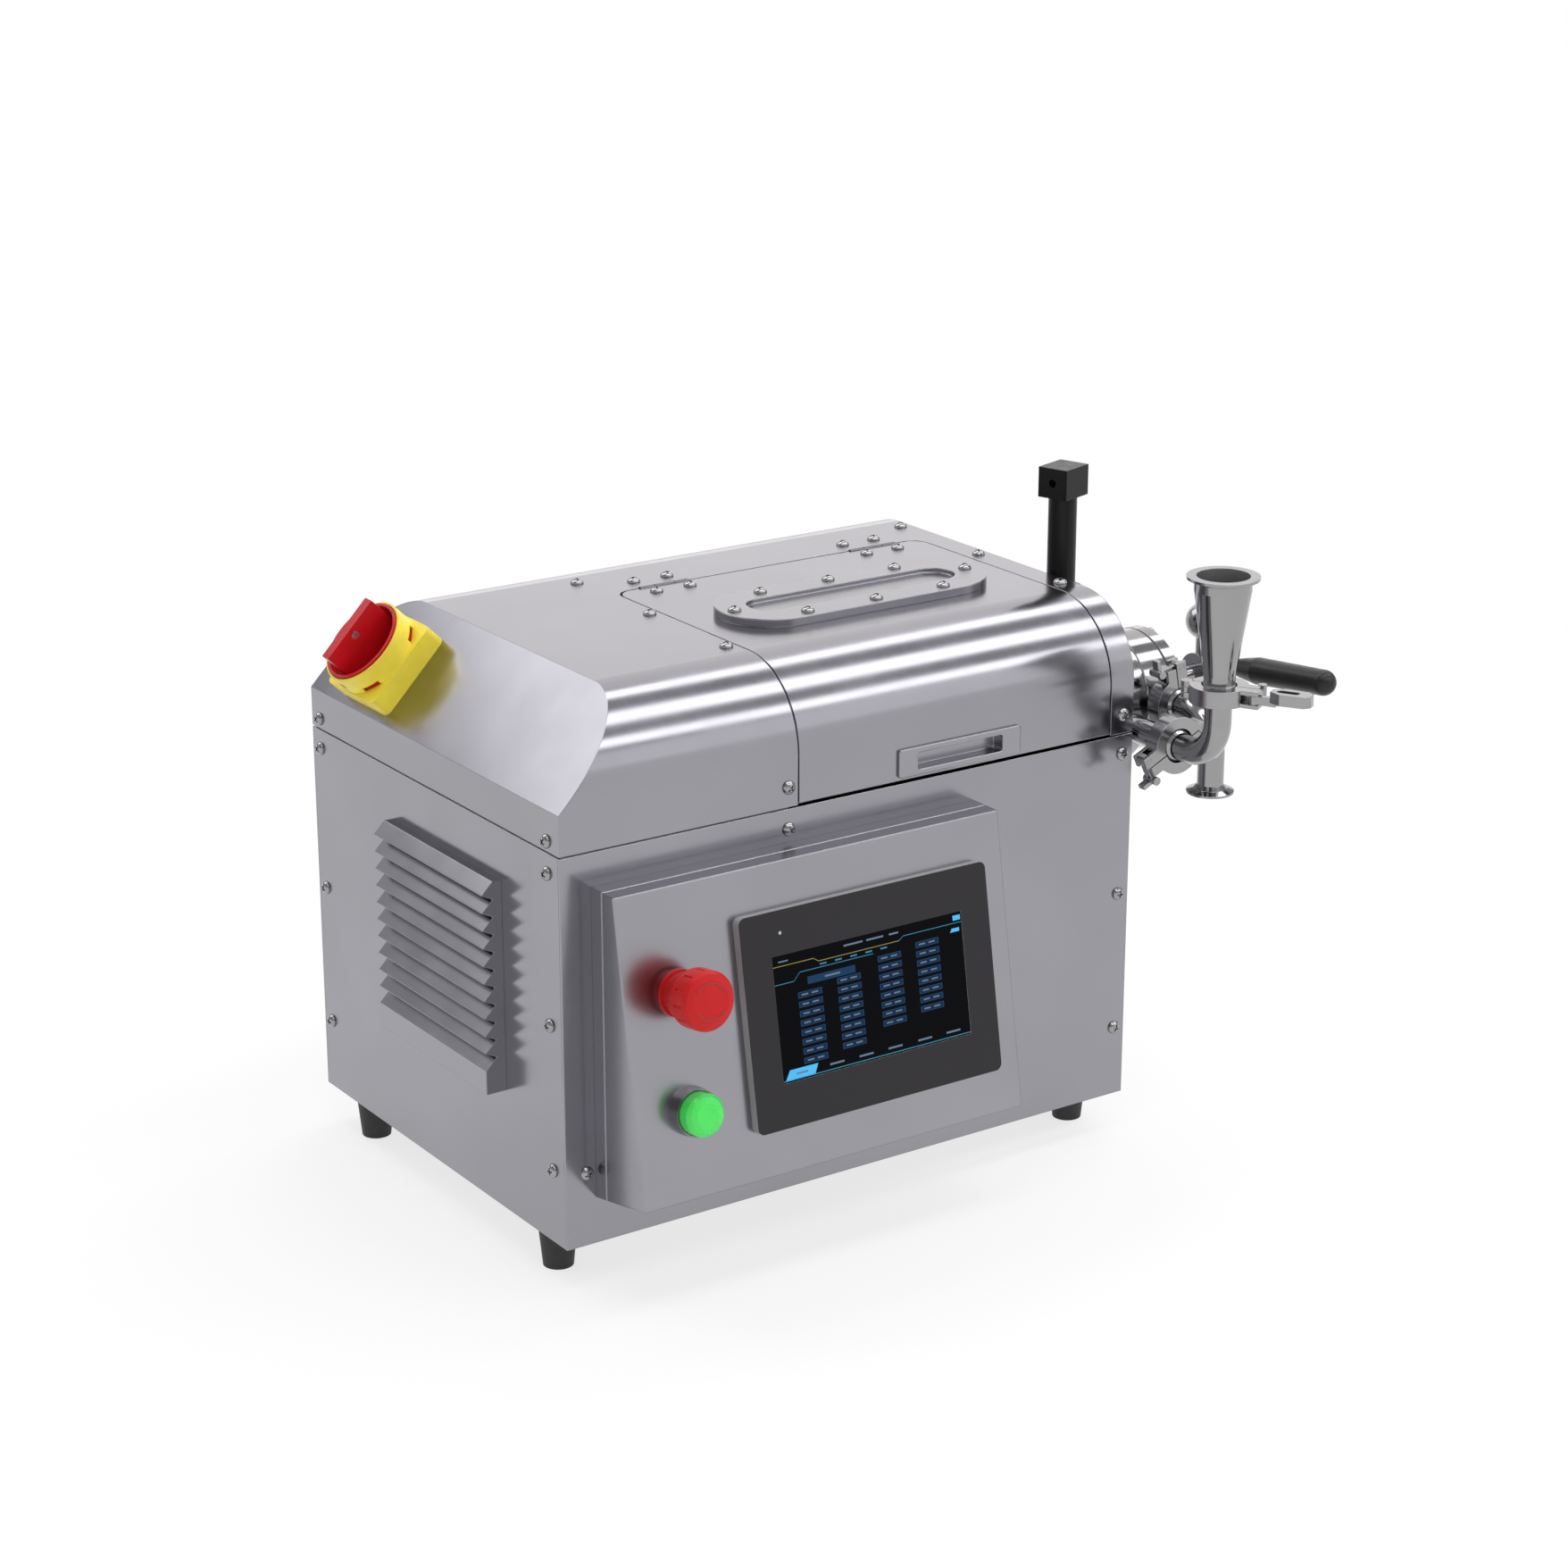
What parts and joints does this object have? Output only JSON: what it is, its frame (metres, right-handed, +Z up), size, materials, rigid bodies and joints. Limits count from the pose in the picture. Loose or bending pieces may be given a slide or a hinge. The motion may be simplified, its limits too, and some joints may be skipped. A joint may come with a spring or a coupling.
{
  "type": "dairy homogenizer",
  "caption": "Bench-top inline homogenizer with a steel housing, hinged lid, touch panel, feed hopper and clamped outlet pipe.",
  "frame": {"origin": "on the floor, midway between the four feet", "axes": "+X to the process head on the right, +Y to the back, +Z up"},
  "size_m": [0.6332, 0.4969, 0.475],
  "materials": {
    "steel_sheet": "satin",
    "steel_polished": "polished",
    "machined_aluminium": "machined",
    "motor_paint": "satin",
    "black_plastic": "matte",
    "black_metal": "satin",
    "screen_glass": "gloss",
    "rubber": "matte",
    "seal_material": "matte",
    "switch_yellow": "satin",
    "switch_red": "satin",
    "button_green": "gloss"
  },
  "bodies": {
    "housing": {"front_panel": "steel_sheet", "rear_panel": "steel_sheet", "left_panel": "steel_sheet", "right_panel": "steel_sheet", "upper_cover": "steel_sheet", "end_wall": "steel_sheet", "control_box": "steel_sheet", "louvre_vent": "steel_sheet", "base_tray": "steel_sheet", "seam_strip": "steel_sheet", "chamber_body": "steel_polished", "outlet_barrel": "steel_polished", "chamber_cover": "steel_polished", "feed_elbow": "steel_polished", "feed_hopper": "steel_polished", "outlet_elbow": "steel_polished", "feed_clamp_half": "steel_polished", "outlet_clamp_half": "steel_polished", "hopper_clamp_half": "steel_polished", "clamp_pins": "steel_polished", "cover_bolts": "steel_polished", "housing_screws": "steel_polished", "hinge_pins": "steel_polished", "cover_hinge_leaves": "steel_polished", "bearings": "steel_polished", "button_ring": "steel_polished", "frame_plate": "machined_aluminium", "bearing_housing": "machined_aluminium", "motor": "motor_paint", "panel_bezel": "black_plastic", "cable_gland": "black_plastic", "inverter": "black_plastic", "support_post": "black_metal", "post_block": "black_metal", "panel_glass": "screen_glass", "feet": "rubber", "drive_belt": "rubber", "gaskets": "seal_material", "shaft_seal": "seal_material", "switch_base": "switch_yellow", "estop_base": "switch_red"},
    "lid": {"lid": "steel_sheet", "lid_hinge_leaves": "steel_polished", "inspection_cover": "steel_sheet", "lid_pull": "steel_sheet"},
    "spindle": {"spindle": "steel_polished", "rotor": "steel_polished", "spindle_pulley": "machined_aluminium"},
    "motor_rotor": {"motor_pulley": "machined_aluminium"},
    "estop": {"estop_head": "switch_red"},
    "start_button": {"button_cap": "button_green"},
    "main_switch": {"switch_handle": "switch_red"},
    "feed_jaw": {"feed_clamp_jaw": "steel_polished"},
    "feed_latch": {"feed_clamp_latch": "steel_polished"},
    "outlet_jaw": {"outlet_clamp_jaw": "steel_polished"},
    "outlet_latch": {"outlet_clamp_latch": "steel_polished"},
    "hopper_jaw": {"hopper_clamp_jaw": "steel_polished"},
    "hopper_lever": {"hopper_clamp_lever": "steel_polished"},
    "lock": {"lock_lever": "steel_polished", "lock_grip": "black_plastic"}
  },
  "joints": [
    {"name": "lid_hinge", "type": "hinge", "parent": "housing", "child": "lid", "pos_m": [0.082, 0.06, 0.3972], "axis": [-1, 0, 0], "range_deg": [0, 75]},
    {"name": "motor_spin", "type": "hinge", "parent": "housing", "child": "motor_rotor", "pos_m": [0.04, -0.02, 0.134], "axis": [1, 0, 0], "continuous": true},
    {"name": "spindle_spin", "type": "hinge", "parent": "housing", "child": "spindle", "pos_m": [0.15, -0.1, 0.3095], "axis": [1, 0, 0], "continuous": true},
    {"name": "estop_press", "type": "slide", "parent": "housing", "child": "estop", "axis": [0, 0.9863, -0.1652], "range_m": [0, 0.004], "stiffness_N_per_m": 800},
    {"name": "start_press", "type": "slide", "parent": "housing", "child": "start_button", "axis": [0, 0.9863, -0.1652], "range_m": [0, 0.0025], "stiffness_N_per_m": 600},
    {"name": "switch_turn", "type": "hinge", "parent": "housing", "child": "main_switch", "pos_m": [-0.20786, 0.097, 0.36101], "axis": [-0.7181, 0, 0.696], "range_deg": [0, 90]},
    {"name": "feed_jaw_swing", "type": "hinge", "parent": "housing", "child": "feed_jaw", "pos_m": [0.2683, -0.201, 0.31193], "axis": [0, 1, 0], "range_deg": [0, 30]},
    {"name": "feed_latch_swing", "type": "hinge", "parent": "feed_jaw", "child": "feed_latch", "pos_m": [0.22042, -0.201, 0.29512], "axis": [0, 1, 0], "range_deg": [0, 120]},
    {"name": "outlet_jaw_swing", "type": "hinge", "parent": "housing", "child": "outlet_jaw", "pos_m": [0.28608, -0.16, 0.29236], "axis": [0, 1, 0], "range_deg": [0, 30]},
    {"name": "outlet_latch_swing", "type": "hinge", "parent": "outlet_jaw", "child": "outlet_latch", "pos_m": [0.28224, -0.16, 0.34296], "axis": [0, 1, 0], "range_deg": [0, 120]},
    {"name": "hopper_jaw_swing", "type": "hinge", "parent": "housing", "child": "hopper_jaw", "pos_m": [0.23525, -0.22565, 0.351], "axis": [0, 0, -1], "range_deg": [0, 30]},
    {"name": "hopper_lever_swing", "type": "hinge", "parent": "hopper_jaw", "child": "hopper_lever", "pos_m": [0.25617, -0.27188, 0.351], "axis": [0, 0, -1], "range_deg": [0, 120]},
    {"name": "lock_turn", "type": "hinge", "parent": "housing", "child": "lock", "pos_m": [0.3595, -0.1, 0.3095], "axis": [-1, 0, 0], "range_deg": [0, 90]}
  ],
  "couplings": [
    {"joint": "spindle_spin", "follows": "motor_spin", "ratio": 1.4},
    {"joint": "feed_latch_swing", "follows": "feed_jaw_swing", "ratio": 4},
    {"joint": "outlet_latch_swing", "follows": "outlet_jaw_swing", "ratio": 4},
    {"joint": "hopper_lever_swing", "follows": "hopper_jaw_swing", "ratio": 4}
  ]
}
